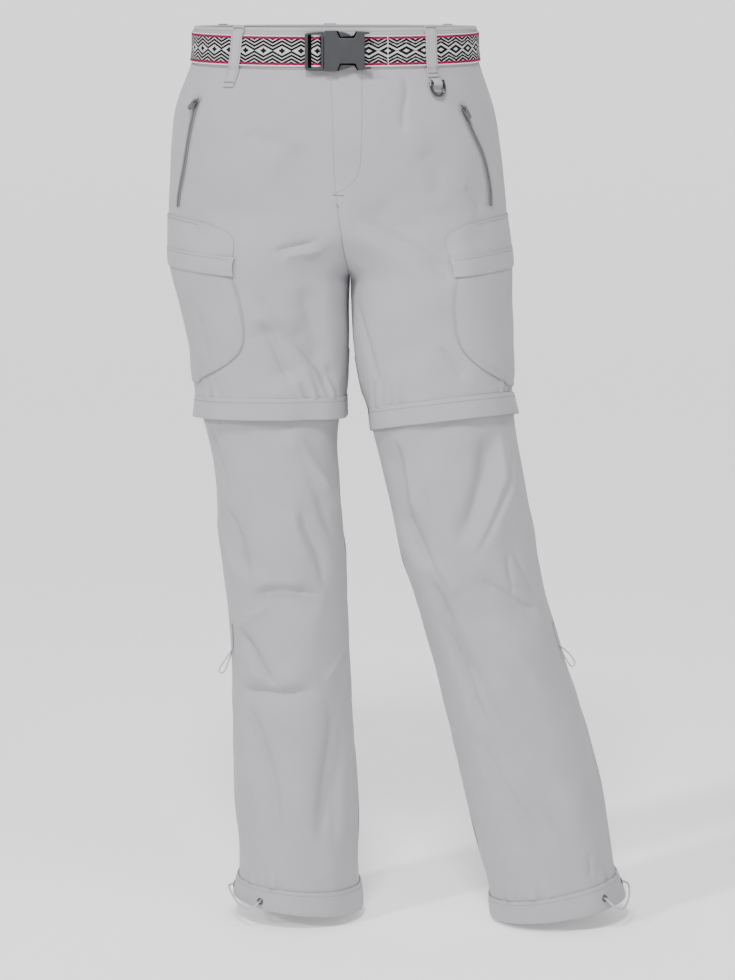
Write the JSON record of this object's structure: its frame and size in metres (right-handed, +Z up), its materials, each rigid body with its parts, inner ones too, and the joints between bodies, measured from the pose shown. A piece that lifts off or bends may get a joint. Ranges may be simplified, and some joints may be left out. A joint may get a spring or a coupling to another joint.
{
  "type": "convertible zip-off trousers with belt",
  "caption": "Zip-off trousers in the hollow form they have when worn, with cargo pockets, a webbing belt and corded hems.",
  "frame": {"origin": "middle of the waist opening, halfway up the waistband", "axes": "+Z up, +Y to the wearer's back, +X to the wearer's left, the viewer's right in the picture"},
  "size_m": [0.542, 0.2445, 1.047],
  "materials": {
    "trouser_cloth": "stone-grey plain-woven nylon, matt",
    "webbing": "jacquard-woven webbing, black and white with crimson edges",
    "buckle_plastic": "dark grey moulded acetal, satin",
    "ring_enamel": "glossy black enamel",
    "zip_tape": "grey zip tape with nylon coil",
    "zip_metal": "dark grey coated zinc",
    "eyelet_metal": "gunmetal plated brass",
    "elastic_cord": "light grey braided elastic cord"
  },
  "bodies": {
    "garment": {"waistband": "trouser_cloth", "belt": "webbing", "loop_front_right": "trouser_cloth", "loop_front_left": "trouser_cloth", "loop_side_right": "trouser_cloth", "loop_side_left": "trouser_cloth", "loop_back": "trouser_cloth", "fly": "trouser_cloth", "buckle_socket": "buckle_plastic", "buckle_frame": "buckle_plastic", "buckle_prong_top": "buckle_plastic", "buckle_prong_bottom": "buckle_plastic", "belt_turn": "webbing", "ring_tab": "trouser_cloth", "front_right": "trouser_cloth", "back_right": "trouser_cloth", "cargo_pocket_right": "trouser_cloth", "cargo_flap_right": "trouser_cloth", "zip_flap_right": "trouser_cloth", "pocket_zip_right": "zip_tape", "slider_right": "zip_metal", "leg_zip_right": "zip_tape", "lower_front_right": "trouser_cloth", "lower_back_right": "trouser_cloth", "hem_right": "trouser_cloth", "eyelet_right_front": "eyelet_metal", "eyelet_right_side": "eyelet_metal", "hem_cord_right": "elastic_cord", "roll_tab_right": "trouser_cloth", "roll_cord_right": "elastic_cord", "front_left": "trouser_cloth", "back_left": "trouser_cloth", "cargo_pocket_left": "trouser_cloth", "cargo_flap_left": "trouser_cloth", "zip_flap_left": "trouser_cloth", "pocket_zip_left": "zip_tape", "slider_left": "zip_metal", "leg_zip_left": "zip_tape", "lower_front_left": "trouser_cloth", "lower_back_left": "trouser_cloth", "hem_left": "trouser_cloth", "eyelet_left_front": "eyelet_metal", "eyelet_left_side": "eyelet_metal", "hem_cord_left": "elastic_cord", "roll_tab_left": "trouser_cloth", "roll_cord_left": "elastic_cord"},
    "right_pull": {"pull_right": "zip_metal"},
    "left_pull": {"pull_left": "zip_metal"},
    "ring": {"d_ring": "ring_enamel"}
  },
  "joints": [
    {"name": "right_pull_hinge", "type": "hinge", "parent": "garment", "child": "right_pull", "pos_m": [-0.155, -0.06347, -0.05864], "axis": [-0.3993, 0.5981, 0.6948], "range_deg": [0, 150]},
    {"name": "left_pull_hinge", "type": "hinge", "parent": "garment", "child": "left_pull", "pos_m": [0.14666, -0.07306, -0.06667], "axis": [-0.6415, -0.5865, -0.4945], "range_deg": [0, 150]},
    {"name": "ring_hinge", "type": "hinge", "parent": "garment", "child": "ring", "pos_m": [0.11491, -0.08613, -0.03706], "axis": [-0.8484, -0.4836, -0.2154], "range_deg": [0, 150]}
  ]
}
